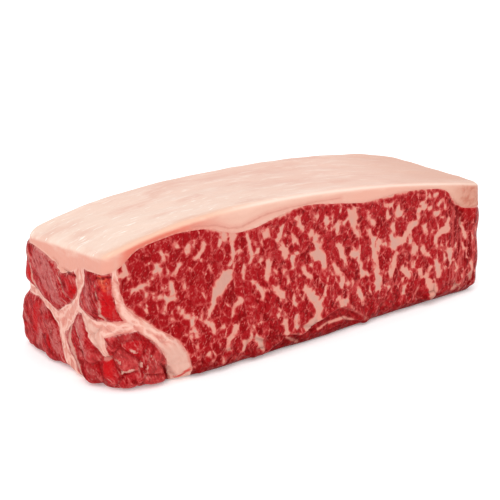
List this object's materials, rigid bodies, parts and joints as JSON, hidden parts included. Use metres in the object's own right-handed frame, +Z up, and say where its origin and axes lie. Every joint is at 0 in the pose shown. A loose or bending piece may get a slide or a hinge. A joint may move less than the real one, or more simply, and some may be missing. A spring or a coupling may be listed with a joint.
{
  "type": "raw sirloin steak",
  "caption": "Thick raw sirloin steak block with a pale arched fat cap, a heavily marbled red cut face, a seam of fat and a trimmed end where small muscles show.",
  "frame": {"origin": "on the base plane, below the middle of the plan", "axes": "+X along the steak, away from the trimmed end; -Y is the marbled cut face; +Z is up, to the fat cap"},
  "size_m": [0.2266, 0.084, 0.0716],
  "materials": {
    "fat": "cream to pale pink beef fat, soft sheen",
    "marbled_lean": "deep red raw lean with pale flecks of fat, moist",
    "end_lean": "duller pink-red raw lean with fine fibres, moist"
  },
  "bodies": {
    "root": {"fat_cap_and_seam": "fat", "eye_muscle": "marbled_lean", "end_muscles": "end_lean"}
  },
  "joints": []
}
